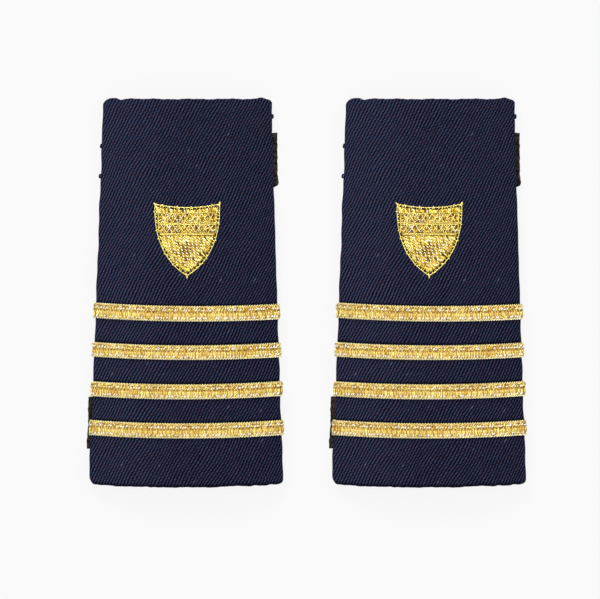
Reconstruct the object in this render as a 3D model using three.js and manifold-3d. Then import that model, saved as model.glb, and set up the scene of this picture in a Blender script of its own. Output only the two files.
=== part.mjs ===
// A pair of soft slip-on shoulder marks, lying face up side by side.
// Each mark is a tapered cloth sleeve: a serge shell folded round a stiffener and a lining, with four
// gold braids wrapped over it, an embroidered shield, and two elastic keepers across its slit back.
// Millimetres, +Z up, +Y towards the narrow (collar) end; the marks rest on their keepers at z = 0.

import * as THREE from "three";
import { mergeVertices } from "three/addons/utils/BufferGeometryUtils.js";
import Module from "manifold-3d";

const wasm = await Module();
wasm.setup();

// ---------------------------------------------------------------- driving dimensions

const LENGTH = 108; // collar end to sleeve end, along the middle
const BASE_WIDTH = 53.6; // across the wide end
const COLLAR_WIDTH = 46.7; // across the narrow end
const HEM_SAG = 1.0; // how far the wide end bows past its own corners
const PITCH = 67.4; // middle of one mark to middle of the other

const CROWN = 5.0; // rise of the front above its side folds
const CROWN_POWER = 3; // 2 would be a plain arc, more is flatter in the middle
const FOLD_RADIUS = 1.0; // outside of the pressed side folds
const SLIT = 12; // opening down the middle of the back
const GAP = 0.1; // air between one layer and the next

const SHELL = 0.6;
const STIFFENER = 0.6;
const LINING = 0.35;
const BRAID = 0.8;
const KEEPER = 1.0;

const BRAID_WIDTH = 4.3;
const BRAID_PITCH = 10.82;
const LAST_BRAID_FROM_END = 15.7; // middle of the lowest braid to the wide end
const BRAID_COUNT = 4;
const BRAID_END = 1; // from the edge of the slit to where a braid stops

const SHIELD_WIDTH = 18.8;
const SHIELD_HEIGHT = 20;
const SHIELD_Y = 14.7; // middle of the shield
const CHIEF_SHARE = 0.42; // share of the shield's height above the divider
const PADDING = 0.5;
const STITCHING = 0.6;
const CORD_WIDTH = 0.45; // outline and divider cords
const FIELD_MARGIN = 0.35; // cloth that shows between the outline and what it frames

const KEEPER_WIDTH = 15.5;
const UPPER_KEEPER_Y = 36.8;
const LOWER_KEEPER_Y = -36.1;
const KEEPER_TAB = 1.2; // how far one end of each keeper stands out past the fold
const KEEPER_TUCK = 0.7; // how far the other end stops short of it
const KEEPER_CORNER = 0.5;

const FRONT_STEPS = 10; // segments in half of the front
const FOLD_STEPS = 7; // segments round one side fold
const TAPER_STEPS = 4; // rings along a full-length sheet

// ---------------------------------------------------------------- derived from them

const HALF_WIDTH = (BASE_WIDTH + COLLAR_WIDTH) / 4; // of the section halfway along
const BACK_Z = KEEPER + GAP + BRAID + GAP; // outside of the shell's back
const FOLD_X = HALF_WIDTH - FOLD_RADIUS;
const FOLD_Z = BACK_Z + FOLD_RADIUS;
const SLOPE = Math.atan((CROWN_POWER * CROWN) / HALF_WIDTH); // of the front where it meets a fold
const FRONT_X = FOLD_X + FOLD_RADIUS * Math.sin(SLOPE);
const FRONT_Z = FOLD_Z + FOLD_RADIUS * Math.cos(SLOPE);

// ---------------------------------------------------------------- materials

const cloth = (color, roughness) => new THREE.MeshStandardMaterial({ color, roughness, metalness: 0 });
const metalThread = (color, roughness) => new THREE.MeshStandardMaterial({ color, roughness, metalness: 0.8 });

const materials = {
  serge: cloth(0x23253a, 0.9),
  buckram: cloth(0xcfc8b4, 0.95),
  lining: cloth(0x14151d, 0.7),
  braid: metalThread(0xd4b868, 0.35),
  stitching: metalThread(0xd8bc5c, 0.3),
  felt: cloth(0xc79a2a, 0.95),
  elastic: cloth(0x1c1917, 0.85),
};

// ---------------------------------------------------------------- sections of the sleeve

// Half of the front from the middle outwards, `offset` outside the shell, up to `reach` of its width.
function frontHalf(offset, reach = 1) {
  const points = [];
  for (let i = 0; i <= FRONT_STEPS; i++) {
    const x = (FRONT_X * reach * i) / FRONT_STEPS;
    const share = x / FRONT_X;
    const z = FRONT_Z + CROWN * (1 - share ** CROWN_POWER);
    const steepness = (CROWN_POWER * CROWN * share ** (CROWN_POWER - 1)) / FRONT_X;
    const normal = new THREE.Vector2(steepness, 1).normalize();
    points.push(new THREE.Vector2(x, z).addScaledVector(normal, offset));
  }
  return points;
}

// From the middle of the front, round a side fold and along the back to `backEdge` from the middle.
function wrapHalf(offset, backEdge) {
  const points = frontHalf(offset);
  const start = Math.PI / 2 - SLOPE;
  for (let i = 1; i <= FOLD_STEPS; i++) {
    const angle = start - ((start + Math.PI / 2) * i) / FOLD_STEPS;
    const radius = FOLD_RADIUS + offset;
    points.push(new THREE.Vector2(FOLD_X + radius * Math.cos(angle), FOLD_Z + radius * Math.sin(angle)));
  }
  points.push(new THREE.Vector2(backEdge, BACK_Z - offset));
  return points;
}

// A half and its mirror image as one line from left to right.
function mirrored(half) {
  const left = half.slice(1).reverse();
  return [...left.map((p) => new THREE.Vector2(-p.x, p.y)), ...half];
}

// The closed outline between two such lines.
function ribbon(innerHalf, outerHalf) {
  return new THREE.Shape([...mirrored(outerHalf), ...mirrored(innerHalf).reverse()]);
}

// ---------------------------------------------------------------- taper

const halfWidthAt = (y) => HALF_WIDTH - ((BASE_WIDTH - COLLAR_WIDTH) / 2) * (y / LENGTH);

// Narrows a straight sleeve towards the collar end and bows it towards the wide end.
function taper(geometry) {
  const position = geometry.attributes.position;
  for (let i = 0; i < position.count; i++) {
    const across = position.getX(i) / HALF_WIDTH;
    const y = position.getY(i);
    const sag = HEM_SAG * (0.5 - y / LENGTH);
    position.setX(i, across * halfWidthAt(y));
    position.setY(i, y + sag * (across ** 2 - 1));
  }
  return geometry;
}

// A section of the sleeve from y = from to y = to, tapered.
function sleeve(section, from, to, steps) {
  const geometry = new THREE.ExtrudeGeometry(section, { depth: to - from, steps, bevelEnabled: false });
  geometry.rotateX(Math.PI / 2).translate(0, to, 0);
  return taper(geometry);
}

const END_Y = LENGTH / 2;

// ---------------------------------------------------------------- solids for cutting

function solidOf(geometry) {
  const bare = geometry.clone().deleteAttribute("normal").deleteAttribute("uv");
  const merged = mergeVertices(bare, 1e-4);
  const vertProperties = merged.attributes.position.array;
  return new wasm.Manifold(new wasm.Mesh({ numProp: 3, vertProperties, triVerts: merged.index.array }));
}

function geometryOf(solid) {
  const mesh = solid.getMesh();
  const geometry = new THREE.BufferGeometry();
  geometry.setAttribute("position", new THREE.BufferAttribute(mesh.vertProperties, 3));
  geometry.setIndex(new THREE.BufferAttribute(mesh.triVerts, 1));
  geometry.computeVertexNormals();
  return geometry;
}

// ---------------------------------------------------------------- sheets

function outerShell() {
  const section = ribbon(wrapHalf(-SHELL, SLIT / 2), wrapHalf(0, SLIT / 2));
  return sleeve(section, -END_Y, END_Y, TAPER_STEPS);
}

// A sheet lying against the inside of the front, `depth` below its outside.
function innerSheet(depth, thickness, reach, inset) {
  const section = ribbon(frontHalf(-depth - thickness, reach), frontHalf(-depth, reach));
  return sleeve(section, -END_Y + inset, END_Y - inset, TAPER_STEPS);
}

const STIFFENER_REACH = 0.95; // share of the front's width that each sheet covers
const LINING_REACH = 0.94;
const STIFFENER_INSET = 2; // how far each sheet stops short of the shell's ends
const LINING_INSET = 1;
const stiffenerDepth = SHELL + GAP;
const liningDepth = stiffenerDepth + STIFFENER + GAP;

const stiffener = () => innerSheet(stiffenerDepth, STIFFENER, STIFFENER_REACH, STIFFENER_INSET);
const lining = () => innerSheet(liningDepth, LINING, LINING_REACH, LINING_INSET);

// ---------------------------------------------------------------- braids

// One braid, wrapped round the sleeve and ending beside the slit in the back. Number 0 is the lowest.
function braid(number) {
  const middle = -END_Y + LAST_BRAID_FROM_END + number * BRAID_PITCH;
  const backEdge = SLIT / 2 + BRAID_END;
  const section = ribbon(wrapHalf(GAP, backEdge), wrapHalf(GAP + BRAID, backEdge));
  return sleeve(section, middle - BRAID_WIDTH / 2, middle + BRAID_WIDTH / 2, 1);
}

// ---------------------------------------------------------------- embroidered shield

const SHIELD_TOP = SHIELD_Y + SHIELD_HEIGHT / 2;
const DIVIDER_Y = SHIELD_TOP - SHIELD_HEIGHT * CHIEF_SHARE;

const TOP_DISH = 0.9; // how far the top edge dips between its corners
const TIP_INSET = 1.25; // the sides meet at a slant, so an inset moves the tip further than them

// A plain heater shield, drawn `inset` inside its full outline.
function heater(inset) {
  const half = SHIELD_WIDTH / 2 - inset;
  const top = SHIELD_TOP - inset;
  const tip = SHIELD_Y - SHIELD_HEIGHT / 2 + inset * TIP_INSET;
  const height = top - tip;
  const shape = new THREE.Shape();
  shape.moveTo(-half, top);
  shape.bezierCurveTo(-half * 1.04, top - height * 0.56, -half * 0.52, tip + height * 0.14, 0, tip);
  shape.bezierCurveTo(half * 0.52, tip + height * 0.14, half * 1.04, top - height * 0.56, half, top);
  shape.quadraticCurveTo(0, top - TOP_DISH * 2, -half, top);
  return shape;
}

const SHIELD_CURVE_STEPS = 9;
const TALL = 30; // clears the whole sleeve

// An upright block of a shape drawn on the ground.
const block = (shape) =>
  solidOf(new THREE.ExtrudeGeometry(shape, { depth: TALL, bevelEnabled: false, curveSegments: SHIELD_CURVE_STEPS }));

// The layer of space that lies from `low` to `high` above the shell's front, round the shield.
function frontLayer(low, high) {
  const reach = 0.6;
  const section = ribbon(frontHalf(low, reach), frontHalf(high, reach));
  return solidOf(sleeve(section, SHIELD_Y - SHIELD_HEIGHT, SHIELD_Y + SHIELD_HEIGHT, 1));
}

// A wide horizontal strip of ground from y = from to y = to.
function strip(from, to) {
  const shape = new THREE.Shape();
  shape.moveTo(-TALL, from).lineTo(TALL, from).lineTo(TALL, to).lineTo(-TALL, to).closePath();
  return block(shape);
}

const paddingTop = GAP + PADDING;
const stitchLow = paddingTop + GAP;
const stitchHigh = stitchLow + STITCHING;
const fieldInset = CORD_WIDTH + FIELD_MARGIN;

function shieldOutline() {
  const ring = heater(0);
  ring.holes.push(new THREE.Path(heater(CORD_WIDTH).getPoints(SHIELD_CURVE_STEPS)));
  return geometryOf(block(ring).intersect(frontLayer(GAP, paddingTop)));
}

const shieldPadding = () => geometryOf(block(heater(fieldInset)).intersect(frontLayer(GAP, paddingTop)));

// The stitched part of the shield between two heights.
function stitched(from, to, inset) {
  const area = block(heater(inset)).intersect(strip(from, to));
  return geometryOf(area.intersect(frontLayer(stitchLow, stitchHigh)));
}

const shieldChief = () => stitched(DIVIDER_Y + CORD_WIDTH / 2 + GAP, SHIELD_TOP, fieldInset);
const shieldField = () => stitched(SHIELD_TOP - SHIELD_HEIGHT, DIVIDER_Y - CORD_WIDTH / 2 - GAP, fieldInset);
const shieldDivider = () => stitched(DIVIDER_Y - CORD_WIDTH / 2, DIVIDER_Y + CORD_WIDTH / 2, fieldInset);

// ---------------------------------------------------------------- keepers

// A flat elastic band across the back, with round corners, from x = left to x = right.
function keeper(middle, left, right) {
  const shape = new THREE.Shape();
  const low = middle - KEEPER_WIDTH / 2;
  const high = middle + KEEPER_WIDTH / 2;
  const r = KEEPER_CORNER;
  shape.moveTo(left + r, low);
  shape.lineTo(right - r, low).quadraticCurveTo(right, low, right, low + r);
  shape.lineTo(right, high - r).quadraticCurveTo(right, high, right - r, high);
  shape.lineTo(left + r, high).quadraticCurveTo(left, high, left, high - r);
  shape.lineTo(left, low + r).quadraticCurveTo(left, low, left + r, low);
  return new THREE.ExtrudeGeometry(shape, { depth: KEEPER, bevelEnabled: false, curveSegments: 3 });
}

function upperKeeper() {
  const half = halfWidthAt(UPPER_KEEPER_Y);
  return keeper(UPPER_KEEPER_Y, -half + KEEPER_TUCK, half + KEEPER_TAB);
}

function lowerKeeper() {
  const half = halfWidthAt(LOWER_KEEPER_Y);
  return keeper(LOWER_KEEPER_Y, -half - KEEPER_TAB, half - KEEPER_TUCK);
}

// ---------------------------------------------------------------- assembly

const pieces = [
  ["outer_shell", outerShell(), materials.serge],
  ["stiffener", stiffener(), materials.buckram],
  ["lining", lining(), materials.lining],
  ["shield_padding", shieldPadding(), materials.felt],
  ["shield_outline", shieldOutline(), materials.stitching],
  ["shield_chief", shieldChief(), materials.stitching],
  ["shield_field", shieldField(), materials.stitching],
  ["shield_divider", shieldDivider(), materials.stitching],
  ["upper_keeper", upperKeeper(), materials.elastic],
  ["lower_keeper", lowerKeeper(), materials.elastic],
];
for (let i = 0; i < BRAID_COUNT; i++) {
  pieces.push([`braid_${BRAID_COUNT - i}`, braid(i), materials.braid]);
}

// One mark, with every node's name starting with its side.
function mark(side) {
  const group = new THREE.Group();
  for (const [name, geometry, material] of pieces) {
    const mesh = new THREE.Mesh(geometry, material);
    mesh.name = `${side}_${name}`;
    group.add(mesh);
  }
  return group;
}

const pair = new THREE.Group();
const left = mark("left");
const right = mark("right");
right.position.x = PITCH;
pair.add(left, right);

// The origin is on the ground, under the middle of the pair.
const box = new THREE.Box3().setFromObject(pair);
const centre = box.getCenter(new THREE.Vector3());
for (const side of [left, right]) {
  side.position.x -= centre.x;
  side.position.y -= centre.y;
}

export default pair;
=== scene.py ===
"""A pair of soft slip-on shoulder marks: navy twill sleeves with gold braids and an embroidered shield."""

import math

import bpy
import numpy as np
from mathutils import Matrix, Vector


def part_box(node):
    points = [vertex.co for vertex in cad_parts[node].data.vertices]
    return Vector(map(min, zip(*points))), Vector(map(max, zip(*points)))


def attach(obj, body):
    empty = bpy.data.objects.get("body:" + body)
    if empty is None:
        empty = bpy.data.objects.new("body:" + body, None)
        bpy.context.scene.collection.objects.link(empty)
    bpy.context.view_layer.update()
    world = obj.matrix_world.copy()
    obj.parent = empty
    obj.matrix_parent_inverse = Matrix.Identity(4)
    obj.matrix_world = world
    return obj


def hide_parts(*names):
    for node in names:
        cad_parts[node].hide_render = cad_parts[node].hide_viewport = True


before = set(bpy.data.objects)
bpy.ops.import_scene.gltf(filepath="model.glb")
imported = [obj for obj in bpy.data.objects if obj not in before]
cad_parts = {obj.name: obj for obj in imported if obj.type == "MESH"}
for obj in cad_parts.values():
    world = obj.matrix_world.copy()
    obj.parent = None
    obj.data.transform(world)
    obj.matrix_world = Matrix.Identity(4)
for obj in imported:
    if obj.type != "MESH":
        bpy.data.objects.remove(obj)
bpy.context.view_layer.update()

# ---- sizes, in millimetres

MM = 0.001
SIDES = ("left", "right")

COLLAR_WIDTH = 46.7  # across the narrow end, at the side folds
FOLD_RADIUS = 1.0
CROWN = 5.0  # rise of the front above its side folds
CROWN_POWER = 3
SLIT = 12.0  # opening down the middle of the back
BASE_INSET = 1.35  # from the CAD box to the straight ends that the cloth's ends are bowed from
COLLAR_INSET = 0.3
LEAN = 0.0035  # the marks lean to the right by this share of their length

CLOTH = 0.45  # thickness of the serge
HEM = 7.0  # length turned in at each end
LINING = 0.3
STIFFENER = 0.45
LAYER_GAP = 0.05
ELASTIC_RIB = 0.34
ELASTIC_COURSES = 1.9  # to a millimetre
TACK = 0.16  # radius of the thread that holds the keepers
THREAD_END = 0.35  # a thread's radius at its two ends, over its full radius

# places across, widths and heights of the unevenness in the two ends of the cloth
COLLAR_BUMPS = ((-22.0, 1.3, 0.28), (-19.9, 1.1, -0.35), (-16.9, 1.4, 0.25), (21.9, 1.4, 0.36),
                (24.2, 0.9, -0.25))
BASE_BUMPS = ((-18.6, 0.6, -0.15), (-9.3, 0.5, -0.15), (12.5, 3.5, 0.16), (18.1, 0.8, 0.22), (22.0, 0.8, 0.2))

# steep twill: ribs that rise to the right, and rows of floats that rise a little to the right
RIB_PITCH = 0.825
RIB_ANGLE = math.radians(61.7)
ROW_PITCH = 0.843
ROW_SLOPE = 0.318

BRAID_WIDTH = 4.3
RISE = 0.3  # how far the braids and the shield sit towards the collar from their CAD places
BRAID_TILTS = (-0.0065, -0.002, 0.002, 0.001)  # braids 1 to 4, highest first
BRAID_SHIFTS = (0.12, 0.12, 0.03, -0.02)  # small differences in place and in width
BRAID_SCALES = (1.0, 0.94, 0.965, 0.98)

SIDE_POINTS = 60  # along one side of the shield
CORD_STEP = 0.25  # between points of the shield's cord

DRIFT = {"left": 0.25, "right": 0.75}  # how far each mark's cloth lies right of its CAD place
KEEPERS = ("upper", "lower")


# ---- lines and numbers

def unit(vectors):
    return vectors / np.linalg.norm(vectors, axis=-1, keepdims=True)


def run_length(points):
    """The distance to each point along a line of points."""
    return np.concatenate([[0], np.cumsum(np.linalg.norm(np.diff(points, axis=0), axis=1))])


def resample(points, step, closed=False):
    """The same line with its points about one step apart."""
    if closed:
        points = np.concatenate([points, points[:1]])
    length = run_length(points)
    at = np.linspace(0, length[-1], int(length[-1] / step) + 1)
    return np.stack([np.interp(at, length, points[:, i]) for i in range(points.shape[1])], 1)


def bell(x, middle, width):
    """1 at the middle, falling to nothing on both sides."""
    return np.exp(-((x - middle) / width) ** 2)


# ---- camera and lamps

def millimetres(corners):
    return [np.array(c) / MM for c in corners]


def add_object(name, data):
    item = bpy.data.objects.new(name, data)
    bpy.context.scene.collection.objects.link(item)
    return item


def add_camera():
    """Looks straight down on the pair, from a little left of and below its middle."""
    width_seen = 0.16698
    distance = 1.2
    over = (-0.00178, -0.00167)
    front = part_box("left_outer_shell")[1].z
    data = bpy.data.cameras.new("camera")
    data.sensor_width = 36
    data.lens = data.sensor_width * distance / width_seen
    data.clip_end = 10
    camera = add_object("camera", data)
    camera.location = (*over, front + distance)
    bpy.context.scene.camera = camera


def add_lamps():
    """Round lamps that face the middle of the pair: name, place and size in metres, and power in watts."""
    for name, location, size, power in (
        ("key", (-0.35, 0.85, 0.8), 0.35, 8),
        ("side", (0.8, 0.3, 0.8), 0.25, 2.5),
        ("fill", (-0.1, -0.8, 0.9), 0.3, 3),
    ):
        data = bpy.data.lights.new(name, "AREA")
        data.shape = "DISK"
        data.size = size
        data.energy = power
        lamp = add_object(name, data)
        lamp.location = location
        lamp.rotation_euler = (-lamp.location).to_track_quat("-Z", "Y").to_euler()


# ---- node trees

class Nodes:
    """A node tree written as arithmetic on sockets."""

    def __init__(self, tree):
        self.tree = tree

    def node(self, kind, inputs=(), **settings):
        node = self.tree.nodes.new(kind)
        for key, value in settings.items():
            setattr(node, key, value)
        for key, value in dict(inputs).items():
            self.set(node.inputs[key], value)
        return node

    def set(self, socket, value):
        if isinstance(value, bpy.types.NodeSocket):
            self.tree.links.new(value, socket)
        else:
            socket.default_value = value

    def math(self, operation, *values):
        node = self.node("ShaderNodeMath", operation=operation)
        for socket, value in zip(node.inputs, values):
            self.set(socket, value)
        return node.outputs[0]

    def add(self, a, b):
        return self.math("ADD", a, b)

    def sub(self, a, b):
        return self.math("SUBTRACT", a, b)

    def mul(self, a, b):
        return self.math("MULTIPLY", a, b)

    def scaled(self, value, factor, offset):
        """value times factor, plus offset."""
        return self.add(self.mul(value, factor), offset)

    def centred(self, noise, swing):
        """Noise from 0 to 1 as a swing about 0."""
        return self.mul(self.sub(noise, 0.5), swing)

    def smooth(self, value, low, high):
        """0 below low, 1 above high, and smooth between."""
        inputs = {"Value": value, "From Min": low, "From Max": high}
        return self.node("ShaderNodeMapRange", inputs, interpolation_type="SMOOTHSTEP").outputs[0]

    def mix(self, factor, a, b):
        node = self.node("ShaderNodeMix", {"Factor": factor}, data_type="RGBA")
        colours = [s for s in node.inputs if s.type == "RGBA"]
        self.set(colours[0], a)
        self.set(colours[1], b)
        return next(s for s in node.outputs if s.type == "RGBA")

    def attribute(self, name):
        return self.node("ShaderNodeAttribute", attribute_name=name)

    def noise(self, vector, scale, detail=2.0):
        inputs = {"Vector": vector, "Scale": scale, "Detail": detail}
        return self.node("ShaderNodeTexNoise", inputs).outputs["Fac"]

    def random(self, vector):
        """One random number for each whole place."""
        noise = self.node("ShaderNodeTexWhiteNoise", {"Vector": vector}, noise_dimensions="3D")
        return noise.outputs["Value"]

    def vector(self, x, y, z=0.0):
        return self.node("ShaderNodeCombineXYZ", {"X": x, "Y": y, "Z": z}).outputs[0]

    def parts(self, vector):
        return self.node("ShaderNodeSeparateXYZ", {"Vector": vector}).outputs

    def object_mm(self):
        """Object coordinates in millimetres."""
        place = self.node("ShaderNodeTexCoord").outputs["Object"]
        inputs = {0: place, 1: (1 / MM,) * 3}
        return self.node("ShaderNodeVectorMath", inputs, operation="MULTIPLY").outputs[0]


class Material(Nodes):
    """A Principled material and its nodes."""

    def __init__(self, name):
        self.material = bpy.data.materials.new(name)
        self.material.use_nodes = True
        super().__init__(self.material.node_tree)
        self.shader = self.tree.nodes["Principled BSDF"]

    def bump(self, height, distance, strength=1.0):
        """Height 0 to 1 as a relief of that distance, in metres."""
        inputs = {"Height": height, "Distance": distance, "Strength": strength}
        self.set(self.shader.inputs["Normal"], self.node("ShaderNodeBump", inputs).outputs[0])

    def finish(self, colour, roughness, **constants):
        self.set(self.shader.inputs["Base Color"], colour)
        self.set(self.shader.inputs["Roughness"], roughness)
        for name, value in constants.items():
            self.shader.inputs[name.replace("_", " ")].default_value = value
        return self.material


def linear(red, green, blue):
    """A colour given as it looks on a screen, from 0 to 255, as light."""
    def one(c):
        c /= 255
        return c / 12.92 if c <= 0.04045 else ((c + 0.055) / 1.055) ** 2.4
    return one(red), one(green), one(blue), 1.0


def twill(m, cloth, x, y):
    """Ribs, each a chain of floats that the weft ties down row by row.

    Gives the height, from 0 to 1, and the numbers of the rib and the row."""
    skew = m.centred(m.noise(cloth, 0.07, 1.0), 2.6)
    wobble = m.centred(m.noise(cloth, 0.5), 0.4)
    run = m.sub(m.mul(x, math.sin(RIB_ANGLE) / RIB_PITCH), m.mul(y, math.cos(RIB_ANGLE) / RIB_PITCH))
    ribs = m.add(run, m.add(skew, wobble))
    rib = m.math("FLOOR", ribs)
    across = m.math("FRACT", ribs)
    shift = m.mul(m.random(m.vector(rib, 0.0)), 0.2)
    rows = m.add(m.math("DIVIDE", m.sub(y, m.mul(x, ROW_SLOPE)), ROW_PITCH), shift)
    row = m.math("FLOOR", rows)
    along = m.math("FRACT", rows)
    crown = m.mul(m.smooth(across, 0.0, 0.34), m.smooth(across, 0.84, 0.42))
    lump = m.mul(m.smooth(along, 0.0, 0.35), m.smooth(along, 1.0, 0.6))
    return m.mul(m.scaled(crown, 0.96, 0.02), m.scaled(lump, 0.62, 0.42)), rib, row


def painted_serge_shade(m, sleeve, braids, x, y):
    """Painted shade: darkness under the lip of the base end and beside the braids."""
    shade = m.mul(m.smooth(y, sleeve.low_y + 0.75, sleeve.low_y - 0.1), 0.7)
    for middle, tilt in braids:
        from_middle = m.math("ABSOLUTE", m.sub(m.sub(y, m.mul(x, tilt)), middle))
        beside = m.smooth(from_middle, BRAID_WIDTH / 2 + 0.55, BRAID_WIDTH / 2)
        shade = m.math("MAXIMUM", shade, m.mul(beside, 0.75))
    return shade


def serge_material(sleeve, braids):
    """Navy twill with painted light: brighter towards the left fold, darker towards the base end by painted
    shade, and a painted blue highlight along the collar's rim.
    """
    m = Material("navy_serge")
    cloth = m.attribute("cloth").outputs["Vector"]
    x, y, _ = m.parts(cloth)
    height, rib, row = twill(m, cloth, x, y)
    fibre = m.noise(cloth, 3.6, 1.0)
    float_tone = m.random(m.vector(rib, row))
    speck = m.add(m.centred(fibre, 2.8), 1.0)
    lit = m.mul(height, m.mul(m.scaled(float_tone, 0.4, 0.92), speck))
    # Painted light: the twill is painted up to 45% brighter towards the left fold.
    left = m.smooth(x, 0.0, -0.9 * sleeve.half)
    # Painted shade: the twill is painted up to 12% darker towards the base end.
    painted_base_end_shade = m.smooth(y, 30.0, -20.0)
    lit = m.mul(lit, m.scaled(left, 0.45, 1.0))
    lit = m.mul(lit, m.scaled(painted_base_end_shade, -0.12, 1.0))
    patch = m.smooth(m.noise(cloth, 0.8, 3.0), 0.3, 0.7)
    colour = m.mix(lit, linear(1, 1, 9), m.mix(patch, linear(57, 52, 74), linear(43, 54, 80)))
    fleck = m.smooth(m.random(m.vector(row, rib)), 0.995, 1.0)
    colour = m.mix(m.mul(fleck, m.mul(height, 0.3)), colour, linear(110, 115, 140))

    # Painted highlight: a pale blue band painted along the rounded rim of the collar's fold, on the front
    # only.
    front = m.smooth(m.math("ABSOLUTE", x), sleeve.fold_start, sleeve.fold_start - 2)
    high = sleeve.high_y
    rim = m.mul(m.smooth(y, high - 0.35, high + 0.1), m.smooth(y, high + 0.55, high + 0.3))
    colour = m.mix(m.mul(m.mul(rim, front), 0.5), colour, linear(76, 98, 130))
    # Painted shade: near-black mixed into the serge under the base end's lip and beside the braids.
    colour = m.mix(painted_serge_shade(m, sleeve, braids, x, y), colour, linear(2, 2, 8))

    m.bump(m.add(height, m.mul(fibre, 0.25)), 0.00012, 0.8)
    m.shader.inputs["Sheen Tint"].default_value = linear(150, 165, 210)
    roughness = m.scaled(lit, -0.12, 0.95)
    return m.finish(colour, roughness, Specular_IOR_Level=0.02, Sheen_Weight=0.015, Sheen_Roughness=0.5)


def gold_material(name, stops, roughness):
    """Metal-wrapped thread: its tone runs through the four stops, the last of them a near-white painted
    highlight, and a fine twist breaks its gloss.
    """
    m = Material(name)
    place = m.object_mm()
    grain = m.noise(place, 3.4, 3.0)
    tone = m.add(m.attribute("tone").outputs["Fac"], m.centred(grain, 0.55))
    colour = linear(*stops[0])
    for stop, (low, high) in zip(stops[1:], ((0.0, 0.4), (0.4, 0.8), (0.9, 1.3))):
        colour = m.mix(m.smooth(tone, low, high), colour, linear(*stop))
    m.bump(m.noise(place, 11.0, 2.0), 0.00005, 0.6)
    shine = m.add(m.centred(grain, 0.25), roughness)
    return m.finish(colour, shine, Metallic=0.6, Specular_IOR_Level=0.4)


def fibre_material(name, dark, light, mottle, relief, roughness, **constants):
    """Yarn or felt without a weave.

    mottle is the scale and detail of the noise in its colour; relief the scale, detail, depth in metres and
    strength of its bump; and roughness the least value, the spread and the scale of the noise in it."""
    m = Material(name)
    place = m.object_mm()
    colour = m.mix(m.noise(place, *mottle), linear(*dark), linear(*light))
    scale, detail, depth, strength = relief
    m.bump(m.noise(place, scale, detail), depth, strength)
    least, spread, scale = roughness
    return m.finish(colour, m.scaled(m.noise(place, scale), spread, least), **constants)


def plain_weave_material(name, dark, light, pitch, roughness):
    """Plain weave from the cloth attribute: buckram and lining."""
    m = Material(name)
    cloth = m.attribute("cloth").outputs["Vector"]
    x, y, _ = m.parts(cloth)
    warp = m.math("SINE", m.mul(x, math.pi / pitch))
    weft = m.math("SINE", m.mul(y, math.pi / pitch))
    over = m.scaled(m.mul(warp, weft), 0.5, 0.5)
    lit = m.add(m.mul(over, 0.7), m.mul(m.noise(cloth, 2.0), 0.3))
    m.bump(over, 0.00008, 0.7)
    colour = m.mix(lit, linear(*dark), linear(*light))
    return m.finish(colour, m.scaled(over, 0.08, roughness), Specular_IOR_Level=0.2)


def elastic_material():
    """Black ribbed elastic with brownish ribs, crossed by fine knit courses."""
    m = Material("black_elastic")
    cloth = m.attribute("cloth").outputs["Vector"]
    x, y, _ = m.parts(cloth)
    courses = m.mul(y, ELASTIC_COURSES)
    knit = m.math("SINE", m.mul(m.math("FRACT", courses), math.pi))
    rib = m.math("FLOOR", m.math("DIVIDE", x, ELASTIC_RIB))
    stitch = m.random(m.vector(rib, m.math("FLOOR", courses)))
    crest = m.math("ABSOLUTE", m.math("SINE", m.mul(x, math.pi / ELASTIC_RIB)))
    fibre = m.noise(cloth, 1.3, 3.0)
    level = m.mul(m.mul(crest, m.add(knit, 0.3)), m.add(stitch, 0.25))
    level = m.mul(level, m.scaled(m.smooth(fibre, 0.35, 0.65), 0.9, 0.3))
    colour = m.mix(level, linear(2, 1, 1), linear(84, 75, 70))
    m.bump(m.add(knit, crest), 0.00008, 0.6)
    return m.finish(colour, m.scaled(fibre, -0.2, 0.92), Specular_IOR_Level=0.02)


# ---- the folded sleeve

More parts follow.
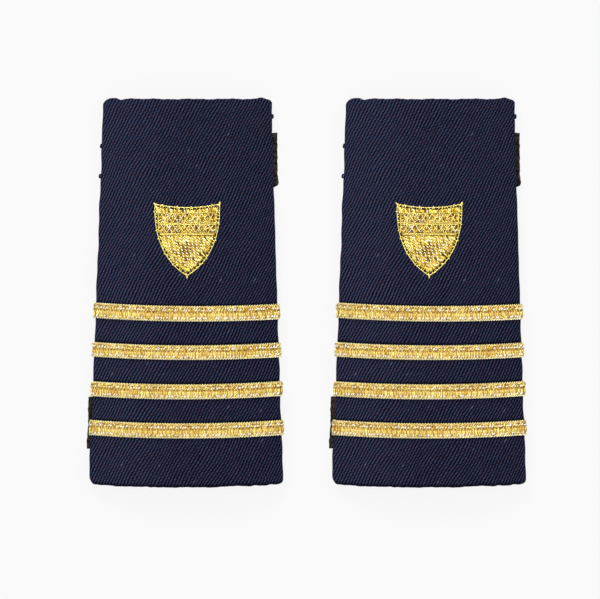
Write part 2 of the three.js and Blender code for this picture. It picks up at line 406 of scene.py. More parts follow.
class Sleeve:
    """Turns a place on a mark's cloth into a point of the shared frame, in millimetres.

    u is the distance along the section from the middle of the front, y the place along the mark, and
    h the height above the outside of the cloth."""

    def __init__(self, side):
        low, high = millimetres(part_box(f"{side}_outer_shell"))
        self.middle = (low[0] + high[0]) / 2 + DRIFT[side]
        self.base = (high[0] - low[0]) / 2
        self.collar = COLLAR_WIDTH / 2
        self.half = (self.base + self.collar) / 2
        self.low_y = low[1] + BASE_INSET
        self.high_y = high[1] - COLLAR_INSET
        self.length = self.high_y - self.low_y
        self.back_z = low[2]
        self.make_section()

    def make_section(self):
        """Half the section, from the middle of the front round the fold to the middle of the back."""
        fold = np.array([self.half - FOLD_RADIUS, self.back_z + FOLD_RADIUS])
        slope = math.atan(CROWN_POWER * CROWN / self.half)
        end = fold + FOLD_RADIUS * np.array([math.sin(slope), math.cos(slope)])
        share = np.linspace(0, 1, 400)
        front = np.stack([end[0] * share, end[1] + CROWN * (1 - share ** CROWN_POWER)], 1)
        steep = CROWN_POWER * CROWN * share ** (CROWN_POWER - 1) / end[0]
        front_normal = np.stack([steep, np.ones_like(steep)], 1)
        angle = np.linspace(math.pi / 2 - slope, -math.pi / 2, 120)[1:]
        fold_normal = np.stack([np.cos(angle), np.sin(angle)], 1)
        back_x = np.linspace(fold[0], 0, 300)[1:]
        back = np.stack([back_x, np.full_like(back_x, self.back_z)], 1)
        back_normal = np.tile([0.0, -1.0], (len(back), 1))
        self.line = np.concatenate([front, fold + FOLD_RADIUS * fold_normal, back])
        self.normal = unit(np.concatenate([front_normal, fold_normal, back_normal]))
        self.arc = run_length(self.line)
        self.fold_start = self.arc[len(front) - 1]
        self.fold_end = self.arc[len(front) + len(fold_normal) - 1]
        self.slit_u = self.fold_end + fold[0] - SLIT / 2

    def taper(self, y):
        """The width there over the width halfway along."""
        share = (y - self.low_y) / self.length
        return (self.base + (self.collar - self.base) * share) / self.half

    def sag(self, y):
        """How far the middle of the front bows towards the base end, which shows in braids and ends alike."""
        share = (y - self.low_y) / self.length
        return np.interp(share, (0.0, 0.12, 0.48, 1.0), (0.65, 0.8, 0.8, 0.25))

    def swell(self, y, sign):
        """How much wider the mark is at a side fold where the turned-in ends thicken it."""
        share = np.clip((self.high_y - y) / self.length, 0, 1)
        along = np.where(sign < 0, 0.25, 0.33 * share ** 1.5)
        base = np.where(sign < 0, 0.38, 0.12) * bell(y, self.low_y + 6, 4.5)
        collar = np.where(sign < 0, 0.1, 0.3) * bell(y, self.high_y - 2, 3.5)
        return along + base + collar

    def place(self, u, y, h):
        """The points of the frame at places u, y, h on the cloth."""
        u, y, h = np.broadcast_arrays(np.asarray(u, float), y, h)
        sign = np.where(u < 0, -1.0, 1.0)
        arc = np.abs(u)
        x, z = (np.interp(arc, self.arc, values) for values in self.line.T)
        nx, nz = (np.interp(arc, self.arc, values) for values in self.normal.T)
        across = x / self.half
        out = x * self.taper(y) + self.swell(y, sign) * across ** 4 + nx * h
        return np.stack([
            self.middle + LEAN * y + sign * out,
            y - self.sag(y) * (1 - across ** 2),
            z + nz * h,
        ], -1)


# ---- mesh building

def make_piece(side, name, material, vertices, quads, caps=None, attributes=()):
    """One mesh object on a mark, from millimetre vertices, quads, and caps that all have as many corners."""
    name = f"{side}_{name}"
    mesh = bpy.data.meshes.new(name)
    mesh.vertices.add(len(vertices))
    mesh.vertices.foreach_set("co", (vertices * MM).astype(np.float32).ravel())
    corners = quads.ravel()
    starts = np.arange(len(quads)) * 4
    if caps is not None:
        starts = np.concatenate([starts, len(corners) + np.arange(len(caps)) * caps.shape[1]])
        corners = np.concatenate([corners, caps.ravel()])
    mesh.loops.add(len(corners))
    mesh.loops.foreach_set("vertex_index", corners.astype(np.int32))
    mesh.polygons.add(len(starts))
    mesh.polygons.foreach_set("loop_start", starts.astype(np.int32))
    mesh.update(calc_edges=True)
    mesh.shade_smooth()
    for key, values in dict(attributes).items():
        kind = "FLOAT" if values.ndim == 1 else "FLOAT_VECTOR"
        data = mesh.attributes.new(key, kind, "POINT").data
        data.foreach_set("value" if kind == "FLOAT" else "vector", values.astype(np.float32).ravel())
    mesh.materials.append(material)
    piece = add_object(name, mesh)
    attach(piece, f"{side}_mark")
    return piece


def tube_faces(tubes, rings, sides):
    """Quads and end caps of several closed tubes, each of that many rings, with their vertices in order."""
    first = np.arange(tubes)[:, None, None] * rings * sides
    ring = np.arange(rings - 1)[None, :, None] * sides
    a = np.arange(sides)[None, None, :]
    b = (a + 1) % sides
    base = first + ring
    quads = np.stack([base + a, base + b, base + sides + b, base + sides + a], -1).reshape(-1, 4)
    start = first[:, 0] + np.arange(sides)[None, ::-1]
    end = first[:, 0] + (rings - 1) * sides + np.arange(sides)[None, :]
    return quads, np.concatenate([start, end])


def lofted_piece(side, name, material, points, cloth=None):
    """One closed tube through a grid of points, rings x corners.

    A sheet has a cloth attribute too, and its two ends are closed by strips of quads and not by one cap."""
    rings, corners, _ = points.shape
    quads, caps = tube_faces(1, rings, corners)
    attributes = {}
    if cloth is not None:
        strip = np.arange(corners // 2 - 1)
        start = np.stack([strip, corners - 1 - strip, corners - 2 - strip, strip + 1], -1)
        end = start[:, ::-1] + (rings - 1) * corners
        quads = np.concatenate([quads, start, end])
        caps = None
        attributes["cloth"] = cloth.reshape(-1, 3)
    return make_piece(side, name, material, points.reshape(-1, 3), quads, caps, attributes)


class Strands:
    """Collects threads of different lengths and makes them one mesh."""

    def __init__(self, sleeve):
        self.sleeve = sleeve
        self.vertices = []
        self.tones = []
        self.quads = []
        self.caps = []
        self.count = 0

    def add(self, u, y, h, radius, tone=0.5, flat=1.0, sides=6):
        """Threads through the places u, y, h, one row for each. flat squashes them against the cloth."""
        u, y, h = np.broadcast_arrays(*(np.atleast_2d(values) for values in (u, y, h)))
        threads, points = u.shape
        centre = self.sleeve.place(u, y, h)
        along = unit(np.gradient(centre, axis=1))
        up = self.sleeve.place(u, y, h + 0.1) - centre
        up = unit(up - (up * along).sum(-1, keepdims=True) * along)
        sideways = np.cross(along, up)
        width = np.ones(points)
        width[[0, -1]] = THREAD_END
        radius = np.broadcast_to(np.asarray(radius, float), (threads,))[:, None] * width
        angle = np.arange(sides)[:, None] * 2 * math.pi / sides
        ring = np.cos(angle) * sideways[..., None, :] + flat * np.sin(angle) * up[..., None, :]
        vertices = (centre[..., None, :] + radius[..., None, None] * ring).reshape(-1, 3)
        quads, caps = tube_faces(threads, points, sides)
        self.quads.append(quads + self.count)
        self.caps.append(caps + self.count)
        self.count += len(vertices)
        self.vertices.append(vertices)
        tone = np.asarray(tone, float)
        if tone.ndim < 2:
            tone = np.broadcast_to(tone, (threads,))[:, None]
        self.tones.append(np.repeat(np.broadcast_to(tone, (threads, points)).ravel(), sides))

    def piece(self, side, name, material, slot):
        """The mesh. Every thread in it has to have the same number of sides."""
        vertices, quads, caps, tones = (
            np.concatenate(parts) for parts in (self.vertices, self.quads, self.caps, self.tones))
        return make_piece(side, name, material, vertices, quads, caps, {"tone": tones})


# ---- serge shell, stiffener and lining

def cloth_outline(low, high, thickness, flap, depth):
    """The closed (y, h) outline of a sheet with ends turned in by flap, and the cloth length at each point.

    The sheet's outside lies depth below h = 0. With no flap its ends are rounded."""
    step = 0.6
    middle = -depth - thickness / 2
    if flap:
        turn = (thickness + LAYER_GAP) / 2
        y_line = np.arange(low + turn, high - turn, step)
        angle = np.linspace(0, math.pi, 9)[1:-1]
        top_turn = np.stack([high - turn + turn * np.sin(angle), middle - turn + turn * np.cos(angle)], 1)
        flap_y = np.linspace(high - turn, high - flap, 7)
        top = np.concatenate([top_turn, np.stack([flap_y, np.full(7, middle - 2 * turn)], 1)])
        bottom = top.copy()
        bottom[:, 0] = low + high - bottom[:, 0]
        line = np.concatenate([bottom[::-1], np.stack([y_line, np.full(len(y_line), middle)], 1), top])
    else:
        y_line = np.linspace(low, high, int((high - low) / step))
        line = np.stack([y_line, np.full(len(y_line), middle)], 1)
    along = unit(np.gradient(line, axis=0))
    half = np.full((len(line), 1), thickness / 2)
    half[[0, -1]] *= 0.5
    out = np.stack([-along[:, 1], along[:, 0]], 1) * half
    length = run_length(line)
    length += low - length[np.argmax(line[:, 1] > middle - 1e-6)]
    return np.concatenate([line + out, (line - out)[::-1]]), np.concatenate([length, length[::-1]])


def section_steps(sleeve, reach, step=0.55):
    """Places along the section from -reach to reach, closer together round the side folds."""
    fold_step = 0.28
    front_end = min(reach, sleeve.fold_start - 1)
    parts = [np.linspace(0, front_end, int(front_end / step))]
    if reach > sleeve.fold_start:
        fold_end = sleeve.fold_end + 0.5
        parts.append(np.arange(front_end + fold_step, fold_end, fold_step))
        parts.append(np.linspace(fold_end, reach, int((reach - fold_end) / step)))
    half = np.concatenate(parts)
    return np.concatenate([-half[:0:-1], half])


def ripple(u, y):
    """Slow unevenness of pressed cloth, in millimetres."""
    return (0.05 * np.sin(0.23 * u + 0.11 * y + 0.7) * np.sin(0.17 * y - 0.05 * u)
            + 0.03 * np.sin(0.61 * u - 0.37 * y + 2.1) + 0.025 * np.sin(0.9 * y + 0.3 * u + 0.4))


def edge_shift(sleeve, x, y):
    """How the ends of the cloth wander and how its corners round off: a shift in y, in millimetres."""
    inside = np.minimum(sleeve.high_y - y, y - sleeve.low_y)
    near = np.clip(1 - inside / 6, 0, 1) ** 2
    top = y > (sleeve.high_y + sleeve.low_y) / 2
    left = x < 0
    corner_reach = np.where(top & left, 2.2, 1.4)
    corner_depth = np.where(top, np.where(left, 1.4, 0.7), np.where(left, 1.9, 0.9))
    from_side = np.clip(1 - (sleeve.half - np.abs(x)) / corner_reach, 0, 1)
    corner = corner_depth * (1 - np.sqrt(1 - from_side ** 2))
    wave = 0.07 * np.sin(0.55 * x + 1.0) + 0.05 * np.sin(1.31 * x + 2.0) + 0.04 * np.sin(2.9 * x)
    high_edge = wave - corner + sum(rise * bell(x, at, width) for at, width, rise in COLLAR_BUMPS)
    low_edge = corner + 0.8 * wave + sum(rise * bell(x, at, width) for at, width, rise in BASE_BUMPS)
    return near * np.where(top, high_edge, low_edge)


def sheet_piece(side, sleeve, name, material, reach, low, high, thickness, depth, flap=0):
    """A sheet of cloth round or behind the front, from low to high and as far as reach from its middle."""
    outline, length = cloth_outline(low, high, thickness, flap, depth)
    u = section_steps(sleeve, reach)[:, None]
    y, h = outline.T
    x = np.interp(np.abs(u), sleeve.arc, sleeve.line[:, 0])
    side_wave = 0.06 * np.sin(0.31 * y + 1.2) + 0.05 * np.sin(0.83 * y)
    points = sleeve.place(u, y + edge_shift(sleeve, x * np.sign(u), y), h + ripple(u, y))
    points[..., 0] += np.sign(u) * side_wave * (x / sleeve.half) ** 8
    cloth = np.stack(np.broadcast_arrays(u * sleeve.taper(y), length, 0.0 * u), -1)
    return lofted_piece(side, name, material, points, cloth)


def add_sheets(side, sleeve, materials):
    low, high = sleeve.low_y, sleeve.high_y
    shell = sheet_piece(side, sleeve, "serge_sleeve", materials["serge"], sleeve.slit_u,
                        low, high, CLOTH, 0.0, HEM)
    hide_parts(f"{side}_outer_shell")

    reach = sleeve.fold_start * 0.95
    depth = CLOTH + LAYER_GAP
    inset = HEM + 0.3
    board = sheet_piece(side, sleeve, "buckram", materials["buckram"], reach,
                        low + inset, high - inset, STIFFENER, depth)
    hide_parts(f"{side}_stiffener")

    depth += STIFFENER + LAYER_GAP
    inset = 1.2
    lining = sheet_piece(side, sleeve, "inner_lining", materials["lining"], reach,
                         low + inset, high - inset, LINING, depth)
    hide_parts(f"{side}_lining")


# ---- braids

def braid_lines():
    """The place and tilt of each braid, highest first."""
    lines = []
    for number, (tilt, shift) in enumerate(zip(BRAID_TILTS, BRAID_SHIFTS), 1):
        top = millimetres(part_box(f"left_braid_{number}"))[1][1]
        lines.append((top - BRAID_WIDTH / 2 + RISE + shift, tilt))
    return lines


def braid_height(t):
    """Height of a braid's core: nearly flat with round edges and a shallow groove above its middle."""
    edge = np.clip(1 - np.abs(2 * t / BRAID_WIDTH) ** 10, 0, 1) ** 0.5
    return 0.06 + 0.50 * edge - 0.15 * bell(t, 0.25, 0.28) + 0.07 * bell(t, -0.5, 0.6)


def braid_core(side, number, sleeve, middle, tilt, reach, material):
    """The brown-gold yarns under a braid's threads, which show between them."""
    edge = BRAID_WIDTH / 2 - 0.15
    t = np.linspace(-edge, edge, 22)
    outline_t = np.concatenate([t, t[::-1]])
    outline_h = np.concatenate([np.full(len(t), 0.02), braid_height(t)[::-1]])
    u = section_steps(sleeve, reach, 0.8)[:, None]
    points = sleeve.place(u, middle + outline_t * BRAID_SCALES[number - 1] + tilt * u, outline_h)
    return lofted_piece(side, f"braid_core_{number}", material, points)


def braid_threads(side, number, sleeve, middle, tilt, reach, material):
    """The metal threads of one braid: rows of slanted threads between two looped edges."""
    rng = np.random.default_rng(100 + number)
    strands = Strands(sleeve)
    scale = BRAID_SCALES[number - 1]
    slow = rng.uniform(0, 2 * math.pi, 3)

    def painted_light_swing(u):
        """Painted light: a slow swing in tone, so that some stretches of a braid look as if they catch more
        light than others.
        """
        return sum(rise * np.sin(rate * u + phase)
                   for rise, rate, phase in zip((0.05, 0.05, 0.04), (0.19, 0.47, 1.1), slow))

    def row(pitch, t_from, t_to, slant, lift, radius, tone, spread, start=0.0, jitter=0.1, missing=0.0,
            painted_glint_share=0.0):
        """Slanted threads side by side along the braid, from t_from to t_to across it.

        missing is the share left out, and the glint share is the share of threads painted near-white as
        painted highlights."""
        at = np.arange(-reach + start, reach, pitch)
        at = at + rng.normal(0, pitch * jitter, len(at))
        at = at[rng.random(len(at)) >= missing]
        q = np.linspace(0, 1, 7)[None, :]
        t = t_from + (t_to - t_from) * q + rng.normal(0, 0.05, (len(at), 1))
        u = at[:, None] + slant * (q - 0.5)
        ends = 0.10 * (2 * np.abs(q - 0.5)) ** 4
        tones = np.clip(rng.normal(tone, spread, len(at)) + painted_light_swing(at), -0.2, 0.95)
        # Painted highlight: glinting threads get tone 1.5, the gold's near-white stop, and sit a little
        # higher.
        painted_glints = rng.random(len(at)) < painted_glint_share
        tones = np.where(painted_glints, 1.5, tones)
        h = braid_height(t) + lift - ends + 0.06 * painted_glints[:, None]
        radii = radius * rng.normal(1, 0.12, len(at))
        strands.add(u, middle + t * scale + tilt * u, h, radii, tones, 0.75, 5)

    def edge(t_middle, swing, pitch, lift, radius, tone, phase=0.0):
        """One long thread that runs in loops along an edge."""
        u = np.arange(-reach, reach, pitch / 6)
        turn = 2 * math.pi * u / pitch + phase + 0.8 * np.sin(0.7 * u + slow[1])
        t = t_middle + swing * np.sin(turn)
        strands.add(u, middle + t * scale + tilt * u, lift + 0.12 * np.cos(turn), radius, tone, 0.9, 5)

    # place, swing and pitch of the loops, lift, radius, tone
    edge(1.95, 0.20, 0.70, 0.38, 0.12, 1.0)
    edge(1.70, 0.16, 0.70, 0.46, 0.10, 0.70, math.pi)
    # pitch, from and to across the braid, slant, lift, radius, tone, spread
    row(0.42, 1.88, 1.35, -0.25, 0.00, 0.12, 0.66, 0.35, jitter=0.2, missing=0.2)
    row(0.62, 1.55, 1.05, -0.30, 0.06, 0.13, 0.62, 0.35, jitter=0.25, painted_glint_share=0.15)
    row(0.83, 1.22, 0.70, -0.42, 0.12, 0.18, 0.80, 0.20, start=0.35, jitter=0.15, painted_glint_share=0.55)
    row(0.42, 1.15, 0.55, 0.20, 0.00, 0.13, 0.62, 0.20, jitter=0.2, missing=0.05)
    row(0.83, 0.60, 0.00, 0.15, 0.03, 0.17, 0.62, 0.12, jitter=0.1)
    row(0.83, 0.60, 0.00, 0.15, -0.02, 0.13, 0.36, 0.15, start=0.41, jitter=0.1, missing=0.2)
    row(0.42, 0.08, -1.15, 0.12, 0.05, 0.17, 0.64, 0.13, jitter=0.15)
    row(0.83, -1.00, -1.55, -0.36, 0.12, 0.18, 0.80, 0.15, jitter=0.2, painted_glint_share=0.6)
    row(0.42, -1.05, -1.85, -0.20, 0.03, 0.13, 0.64, 0.30, jitter=0.2, missing=0.12)
    edge(-1.68, 0.15, 0.70, 0.48, 0.11, 0.80)
    edge(-1.90, 0.18, 0.70, 0.48, 0.13, 1.08, math.pi)
    for place, share in ((1.62, 0.55), (1.18, 0.45), (0.42, 0.35), (-1.60, 0.65)):
        row(0.62, place + 0.14, place - 0.14, -0.15, 0.20, 0.11, -0.2, 0.05, jitter=0.3, missing=share)
    return strands.piece(side, f"braid_threads_{number}", material, "gold_braid")


def add_braids(side, sleeve, materials):
    reach = sleeve.slit_u - 1
    for number, (middle, tilt) in enumerate(braid_lines(), 1):
        threads = braid_threads(side, number, sleeve, middle, tilt, reach, materials["braid"])
        braid_core(side, number, sleeve, middle, tilt, reach, materials["core"])
        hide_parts(f"{side}_braid_{number}")


# ---- shield

class Shield:
    """A plain heater shield drawn on the front of a sleeve."""

    def __init__(self, side, sleeve):
        low, high = millimetres(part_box(f"{side}_shield_outline"))
        self.side = side
        self.sleeve = sleeve
        self.half = (high[0] - low[0]) / 2
        self.dish = 0.9  # how far the middle of the top edge dips
        self.top = high[1] + RISE
        self.tip = low[1] + RISE
        self.middle = (low[0] + high[0]) / 2 - sleeve.middle + 0.4
        self.divider = sum(c[1] for c in millimetres(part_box(f"{side}_shield_divider"))) / 2 + RISE
        self.band_low = self.divider + 0.35
        self.band_high = self.top - 2.6
        self.band_middle = self.band_low + 0.46 * (self.band_high - self.band_low)
        self.band_half = self.half - 1.15

    def outline(self, inset, count=SIDE_POINTS):
        """Points anticlockwise from the tip: up the right side, along the top and down the left side."""
        half = self.half - inset
        top = self.top - inset
        tip = self.tip + inset * 1.25
        height = top - tip
        q = np.linspace(0, 1, count)[:, None]
        lower, upper = (half * 0.52, tip + height * 0.14), (half * 1.04, top - height * 0.56)
        p = np.array([(0, tip), lower, upper, (half, top)])
        side = (1 - q) ** 3 * p[0] + 3 * (1 - q) ** 2 * q * p[1] + 3 * (1 - q) * q ** 2 * p[2] + q ** 3 * p[3]
        across = np.linspace(1, -1, count // 2)[:, None]
        edge = np.concatenate([across * half, top - self.dish * (1 - across ** 2)], 1)
        return np.concatenate([side, edge[1:-1], (side * [-1, 1])[::-1][:-1]])

    def room(self, x, y, inset):
        """The distance from a place to the sides or the dished top drawn in by inset, negative outside."""
        top = self.top - inset - self.dish * (1 - (x / self.half) ** 2)
        return np.minimum(self.half_width(y, inset) - np.abs(x), top - y)

    def half_width(self, y, inset):
        """How far the sides are from the middle at y, or 0 outside."""
        side = self.outline(inset)[:SIDE_POINTS]
        return np.interp(y, side[:, 1], side[:, 0], left=0, right=0)


def add_padding(shield, material):
    """The felt under the stitching, a low dome."""
    rings = 9
    outline = shield.outline(0.80, 40)
    centre = np.array([0, (shield.top + shield.tip) / 2 + 1.0])
    rows = []
    for share in 1 - np.arange(rings) / rings:
        height = np.full((len(outline), 1), 0.12 + 0.5 * (1 - share ** 3) ** 0.6)
        rows.append(np.concatenate([centre + (outline - centre) * share, height], 1))
    base = rows[0] * [1, 1, 0] + [0, 0, 0.03]
    x, y, h = np.moveaxis(np.stack([base, *rows]), -1, 0)
    points = shield.sleeve.place(x + shield.middle, y, h)
    pad = lofted_piece(shield.side, "shield_pad", material, points)
    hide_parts(f"{shield.side}_shield_padding")


def pad_height(shield, x, y):
    """Height of the padding's top under a place on the shield."""
    edge = np.maximum(shield.half_width(np.minimum(y, shield.top - 1.6), 0.6), 0.3)
    share = np.clip(np.abs(x) / edge, 0, 1)
    return 0.25 + 0.42 * (1 - share ** 3) ** 0.6


def lay(shield, strands, x, y, lift, radius, tone, flat=0.8):
    """Threads over the padding along arrays of x and y, one row for each thread."""
    x, y = np.broadcast_arrays(np.atleast_2d(x), np.atleast_2d(y))
    strands.add(x + shield.middle, y, pad_height(shield, x, y) + lift, radius, tone, flat)


def fill_stitches(shield, strands, rng, area, angle, line_pitch, stitch, tone, gaps=0.0):
    """Parallel lines of short stitches over the part of the shield between two heights.

    tone gives each stitch's tone from its place, and gaps is the share of stitches left out."""
    low, high, inset = area
    direction = np.array([math.cos(angle), math.sin(angle)])
    normal = np.array([-direction[1], direction[0]])
    reach = shield.half + abs(high - low)
    centre = np.array([0, (low + high) / 2])
    share = np.linspace(0, 1, 6)
    paths = []
    for k, line in enumerate(np.arange(-reach, reach, line_pitch)):
        for start in np.arange(-reach, reach, stitch) + (k % 3) * stitch / 3:
            points = centre + normal * line + direction * (start + np.linspace(0, stitch * 1.04, 7))[:, None]
            room = shield.room(points[:, 0], points[:, 1], inset)
            inside = (room > 0) & (points[:, 1] > low) & (points[:, 1] < high)
            if inside.sum() < 4 or rng.random() < gaps:
                continue
            kept = points[inside]
            at = np.linspace(0, 1, len(kept))
            paths.append([np.interp(share, at, kept[:, i]) for i in range(2)])
    paths = np.array(paths)
    middles = paths.mean(2)
    tones = np.clip(tone(middles[:, 0], middles[:, 1]) + rng.normal(0, 0.24, len(paths)), 0, 1.15)
    lift = 0.12 * np.sin(math.pi * share)
    lay(shield, strands, paths[:, 0], paths[:, 1], lift, line_pitch * 0.54, tones, 0.65)


def add_shield_cord(shield, rng, material):
    """One thin couched cord, the ties that cross the gap inside it, and the needle nubs outside it."""
    cord = Strands(shield.sleeve)
    line = resample(shield.outline(0.16), CORD_STEP, closed=True)
    line[:, 0] += shield.middle
    count = np.arange(len(line))
    h = 0.20 + 0.03 * np.sin(count * 1.3)
    beads = 0.90 + 0.20 * np.sin(count * 2.1)
    cord.add(*line.T, h, 0.12, beads[None])
    cord.add(*line.T, h - 0.11, 0.11, 0.6)
    ahead = np.roll(line, -1, 0) - np.roll(line, 1, 0)
    away = unit(np.stack([ahead[:, 1], -ahead[:, 0]], 1))

    def across(spacing, start, inward, outward, radius, tone):
        """Short threads square to the cord every so often."""
        step = spacing / CORD_STEP
        at = np.arange(0, len(line) - 1, step)
        at = np.round(at + rng.uniform(-0.35, 0.35, len(at)) * step).astype(int) % len(line)
        radii = radius * rng.uniform(0.6, 1.4, len(at))
        q = np.linspace(-inward, outward, 6)
        x, y = (line[at, i, None] + away[at, i, None] * q for i in range(2))
        cord.add(x, y, start - q ** 2, radii, tone)

    across(0.90, 0.24, 0.62, -0.12, 0.18, 0.74)
    across(4.3, 0.34, 0.12, 0.42, 0.17, 0.82)
    q = np.linspace(0, 1.0, 6)
    half, shoulder = shield.half - 0.2, shield.top - 0.2
    for x, y, way_x, way_y in ((0, shield.tip + 0.3, 0, -0.9), (-half, shoulder, -0.5, 0.4),
                               (half, shoulder, 0.2, 0.7)):
        cord.add(shield.middle + x + way_x * q, y + way_y * q, 0.28 - 0.12 * q, 0.22, 0.82)
    outline = cord.piece(shield.side, "shield_cord", material, "gold_stitching")
    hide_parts(f"{shield.side}_shield_outline")


def add_shield_field(shield, rng, material):
    """Satin stitches in one direction, darker in the middle, with raised dashes over them painted near-white
    as painted highlights.
    """
    field = Strands(shield.sleeve)
    top = shield.divider - 0.25
    depth = top - shield.tip

    def satin_tone(x, y):
        share = (top - y) / depth
        tone = np.interp(share, (0, 0.14, 0.26, 0.55, 0.72, 1.0), (0.66, 0.50, 0.31, 0.30, 0.42, 0.48))
        outer = np.clip((np.abs(x) / np.maximum(shield.half_width(y, 0), 0.1) - 0.5) / 0.3, 0, 1)
        return tone + (np.maximum(tone, 0.6) - tone) * outer

    fill_stitches(shield, field, rng, (shield.tip, top, 0.72), math.radians(-58), 0.37, 1.3, satin_tone)
    column, course = 1.10, 0.83
    x, y = np.meshgrid(np.arange(-9, 10) * column, np.arange(1, 14) * course)
    x = x + 0.16 * np.floor(y / course)
    y = top - y - 0.05 * x
    room = shield.half_width(y, 1.3) - np.abs(x)
    kept = (room > 0) & (y > shield.tip + 2.6)
    x, y, room = x[kept], y[kept], room[kept]
    q = np.linspace(-0.5, 0.5, 6)
    slope = rng.normal(1, 0.12, len(x))[:, None]
    radius = 0.155 * np.interp(room, (0, 1.2), (0.6, 1)) * rng.normal(1, 0.1, len(x))
    # Painted highlight: the dashes' tones run into the gold's near-white stop.
    tones = np.clip(rng.normal(1.2, 0.1, len(x)), 0, 1.5)
    x, y = x[:, None] + 0.52 * slope * q, y[:, None] - 0.58 * q
    lay(shield, field, x, y, 0.31 - 0.5 * q ** 2, radius, tones)
    piece = field.piece(shield.side, "shield_satin", material, "gold_stitching")
    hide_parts(f"{shield.side}_shield_field")


def add_shield_band(shield, rng, material):
    """The band above the divider: loose stitches under two rows of crossed threads, and satin on top."""
    low, middle, high, width = shield.band_low, shield.band_middle, shield.band_high, shield.band_half
    band = Strands(shield.sleeve)

    def ground_tone(x, y):
        return 0.37 + 0.08 * np.sin(2.1 * x + 1.3 * y)

    def edging_tone(x, _):
        return 0.56 + 0.06 * np.sin(1.1 * x + 0.5)

    ground, edging = (low - 0.2, high, 0.66), (high - 0.2, shield.top, 0.60)
    fill_stitches(shield, band, rng, ground, math.radians(35), 0.38, 0.9, ground_tone, 0.12)
    fill_stitches(shield, band, rng, edging, math.radians(96), 0.36, 1.5, edging_tone, 0.03)
    crossing = 1.67
    count = int(2 * width / crossing)
    x = (np.arange(count) - count / 2)[:, None] * crossing
    q = np.linspace(0, 1, 6)
    for bottom, top in ((low, middle - 0.15), (middle + 0.15, high)):
        y = bottom + (top - bottom) * q
        for over, way in ((0.30, q), (0.40, 1 - q)):
            start = x + rng.normal(0, 0.06, x.shape)
            radius = 0.10 * rng.normal(1, 0.1, count)
            # Partly painted highlight: tones near 1.1 run halfway into the gold's near-white stop.
            tones = np.clip(rng.normal(1.1, 0.12, count), 0, 1.3)
            lift = over + 0.05 * np.sin(math.pi * q)
            lay(shield, band, start + crossing * way, y, lift, radius, tones, 1.0)
    spacing = 0.75
    for y in (low + 0.12, middle - 0.45, middle + 0.42, high - 0.12):
        x = np.arange(-width, width, spacing)
        x = x + rng.normal(0, 0.12, len(x))
        x = x[rng.random(len(x)) < 0.7][:, None] + np.linspace(-0.16, 0.16, 4)
        lay(shield, band, x, y, 0.20, 0.11, 0.0)
    bar = np.linspace(low, high, 24)
    for x in (0.1 - width, width - 0.1):
        lay(shield, band, x, bar, 0.28, 0.12, 0.85, 1.0)
    piece = band.piece(shield.side, "shield_band", material, "gold_stitching")
    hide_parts(f"{shield.side}_shield_chief")


def add_shield_lines(shield, material):
    """The cords between the shield's fields, two of them along the divider."""
    lines = Strands(shield.sleeve)
    divider, middle = shield.divider, shield.band_middle
    for y, tone in ((divider - 0.16, 0.85), (divider + 0.22, 0.7), (middle - 0.19, 0.85),
                    (middle + 0.19, 0.75), (shield.band_high + 0.02, 0.75)):
        reach = min(float(shield.half_width(y, 0.85)) or shield.band_half, shield.band_half + 0.25)
        x = np.linspace(-reach, reach, 60)
        path = y + 0.05 * np.sin(x * 0.5) + 0.02 * np.sin(x * 3)
        lay(shield, lines, x, path, 0.40 + 0.03 * np.sin(x * 7), 0.10, tone, 1.0)
    piece = lines.piece(shield.side, "shield_lines", material, "gold_stitching")
    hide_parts(f"{shield.side}_shield_divider")


def add_shield(side, sleeve, materials):
    shield = Shield(side, sleeve)
    add_padding(shield, materials["felt"])
    add_shield_cord(shield, np.random.default_rng(7), materials["stitch"])
    rng = np.random.default_rng(31)
    add_shield_field(shield, rng, materials["stitch"])
    add_shield_band(shield, rng, materials["stitch"])
    add_shield_lines(shield, materials["stitch"])


# ---- elastic keepers

def add_keeper(side, which, material):
    """A ribbed elastic band across the back; its ribs run along the mark and its peeking end splays out."""
    node = f"{side}_{which}_keeper"
    low, high = millimetres(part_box(node))
    rib_height = 0.09
    half_thick = (high[2] - low[2]) / 2
    middle = (low[2] + high[2]) / 2
    x = np.arange(low[0], high[0] + 1e-6, ELASTIC_RIB / 6)[:, None]
    share = np.linspace(0, 1, 40)  # from the collar end of the band to its base end
    if which == "upper":
        outer, from_end = 1, high[0] - x  # the band's right end peeks out
        splay = 0.16 + 0.14 * share + 0.30 * bell(share, 0.94, 0.06)
        top, bottom, slant = high[1], low[1] + 0.1, 0.7
    else:
        outer, from_end = -1, x - low[0]  # its left end
        splay = 0.15 + 0.55 * share + 0.10 * np.sin(9 * share)
        top, bottom, slant = high[1] - 1.0, low[1] - 0.1, 0.0
    end = np.clip(1 - from_end / 6, 0, 1)
    nose = np.minimum(x - low[0], high[0] - x)
    round_nose = np.sqrt(np.clip(1 - (1 - np.clip(nose / half_thick, 0, 1)) ** 2, 0.02, 1))
    rim = np.ones(len(share))
    rim[[0, -1]] = 0.45
    ribs = rib_height * np.abs(np.sin(math.pi * x / ELASTIC_RIB))
    half = (half_thick - rib_height + ribs) * round_nose * rim
    rough = 0.05 * np.sin(31 * share) + 0.04 * np.sin(53 * share + 1)
    grid_x = x + DRIFT[side] + outer * end * (splay + rough)
    corner = slant * np.clip(1 - nose / 1.4, 0, 1) * end
    grid_y = top + (bottom - top + corner) * share + 0.05 * np.sin(2 * x)
    upper = np.stack([grid_x, grid_y, middle + half], -1)
    lower = np.stack([grid_x, grid_y, middle - half], -1)
    points = np.concatenate([upper, lower[:, ::-1]], 1)
    cloth = np.stack([x + 0 * grid_x, grid_y, 0 * grid_x], -1)
    cloth = np.concatenate([cloth, cloth[:, ::-1]], 1)
    piece = lofted_piece(side, f"{which}_elastic", material, points, cloth)
    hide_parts(node)


# ---- sewing thread

class FlatBack:
    """Places points as they are, for threads that aren't on a sleeve."""

    def place(self, x, y, z):
        return np.stack([x, y, z], -1)


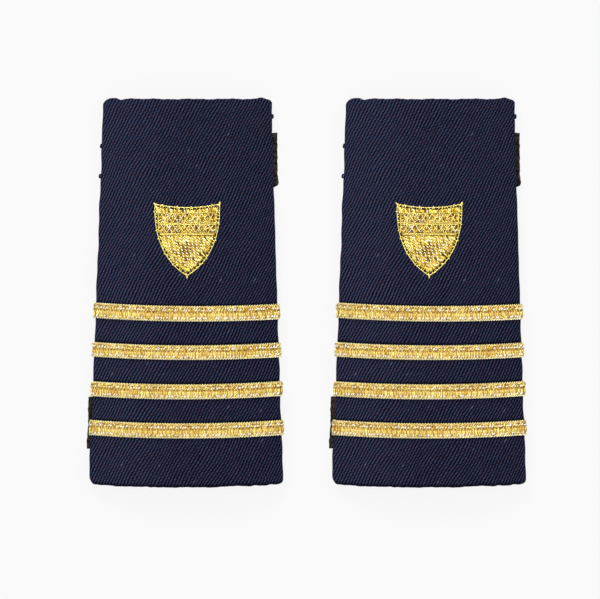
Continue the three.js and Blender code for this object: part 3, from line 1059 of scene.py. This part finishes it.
def add_stitches(side, sleeve, material):
    """Navy thread: overlock along the slit, bars over the braids' ends, and knots on the folds."""
    rng = np.random.default_rng(57)
    thread = Strands(sleeve)
    slit = sleeve.slit_u
    q = np.linspace(0, 1, 6)
    pitch = 0.9
    for sign in (-1, 1):
        y = np.arange(sleeve.low_y + 1, sleeve.high_y - 1, pitch)[:, None]
        u = sign * (slit - 2.2 + 2.4 * q)
        thread.add(u, y + pitch / 2 * q, 0.13 + 0.06 * np.sin(math.pi * q), 0.13, 0.4)
        thread.add(u, y + pitch / 2 + pitch / 2 * (1 - q), 0.11, 0.13, 0.4)
        for middle, _ in braid_lines():
            y = middle + np.linspace(-2.0, 2.0, 12)[:, None]
            lift = np.interp(q, (0, 0.25, 1), (0.95, 0.95, 0.12))
            thread.add(sign * (slit - 2.1 + 1.2 * q), y + 0.12 * q, lift, 0.15, 0.5)
    angle = np.linspace(0, math.pi, 7)
    for sign, at, size in ((-1, 41.1, 0.34), (-1, 32.9, 0.40), (1, 49.5, 0.30)):
        for k in range(5):
            u = sign * (sleeve.fold_start + 0.6 + 0.35 * k)
            y = at + rng.normal(0, 0.12) + (0.62 - 0.1 * abs(k - 2)) * np.cos(angle)
            thread.add(u, y, 0.02 + size * np.sin(angle), 0.17, 0.2)
    return thread.piece(side, "sewing_thread", material, "navy_serge")


def add_keeper_tacks(side, material):
    """Zigzag bars that hold each keeper's two ends on the back."""
    bars = Strands(FlatBack())
    for which in KEEPERS:
        low, high = millimetres(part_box(f"{side}_{which}_keeper"))
        for x in (low[0] + 2.6, high[0] - 2.6):
            y = np.arange(low[1] + 0.9, high[1] - 1.3, 0.45)
            way = np.where(np.arange(len(y)) % 2, 0.8, -0.8)
            points = np.stack([x + DRIFT[side] + way, y, np.full(len(y), low[2] + TACK)], -1)
            bars.add(*resample(points, 0.3).T, TACK)
    return bars.piece(side, "keeper_tacks", material, "black_elastic")


# ---- stage and assembly

def add_floor():
    """A pale floor that mostly glows by itself, so that the pair lies on it with only a faint shadow."""
    material = Material("floor").finish((0.05, 0.05, 0.05, 1), 0.9, Specular_IOR_Level=0.0,
                                        Emission_Color=(1, 1, 1, 1), Emission_Strength=0.882)
    mesh = bpy.data.meshes.new("floor")
    reach = 3.0
    corners = [(x * reach, y * reach, 0) for x, y in ((-1, -1), (1, -1), (1, 1), (-1, 1))]
    mesh.from_pydata(corners, [], [(0, 1, 2, 3)])
    mesh.materials.append(material)
    add_object("floor", mesh)


def add_world():
    """A studio sky, brightest overhead and towards the collars."""
    world = bpy.data.worlds.new("studio")
    world.use_nodes = True
    sky = Nodes(world.node_tree)
    _, y, z = sky.parts(sky.node("ShaderNodeTexCoord").outputs["Generated"])
    height = sky.smooth(z, 0.1, 0.95)
    side = sky.smooth(y, -0.6, 0.7)
    level = sky.add(0.28, sky.add(sky.mul(height, 0.55), sky.mul(side, 0.40)))
    background = world.node_tree.nodes["Background"]
    sky.set(background.inputs["Strength"], level)
    background.inputs["Color"].default_value = (1, 1, 1, 1)
    bpy.context.scene.world = world


def add_stage():
    add_floor()
    add_world()
    add_lamps()
    bpy.context.scene.view_settings.view_transform = "Standard"


def make_materials():
    # The last stop of each gold is near-white, a painted highlight that tones above 0.9 reach.
    gold = (112, 66, 4), (222, 186, 84), (252, 238, 150), (255, 255, 255)
    deep_gold = (104, 68, 2), (216, 178, 48), (254, 236, 128), (255, 254, 236)
    return {
        "serge": serge_material(Sleeve("left"), braid_lines()),
        "braid": gold_material("gold_braid", gold, 0.3),
        "stitch": gold_material("gold_stitching", deep_gold, 0.28),
        "core": fibre_material("gold_core", (122, 80, 14), (196, 150, 54), (3.0, 3.0),
                               (6.0, 2.0, 0.0001, 0.7), (0.45, 0.2, 2.0), Metallic=0.4),
        "buckram": plain_weave_material("buckram", (150, 142, 120), (214, 206, 186), 0.5, 0.85),
        "lining": plain_weave_material("lining_cloth", (44, 42, 42), (96, 92, 88), 0.3, 0.8),
        "elastic": elastic_material(),
        "felt": fibre_material("padding_felt", (110, 78, 16), (176, 136, 44), (5.0, 4.0),
                               (8.0, 3.0, 0.00015, 0.8), (0.75, 0.2, 3.0), Metallic=0.2),
        "thread": fibre_material("navy_thread", (8, 9, 22), (40, 46, 74), (6.0, 2.0),
                                 (14.0, 2.0, 0.00004, 0.6), (0.6, 0.3, 3.0), Specular_IOR_Level=0.15),
    }


add_camera()
add_stage()
materials = make_materials()
for side in SIDES:
    sleeve = Sleeve(side)
    add_sheets(side, sleeve, materials)
    add_braids(side, sleeve, materials)
    add_shield(side, sleeve, materials)
    add_stitches(side, sleeve, materials["thread"])
    for which in KEEPERS:
        add_keeper(side, which, materials["elastic"])
    add_keeper_tacks(side, materials["thread"])
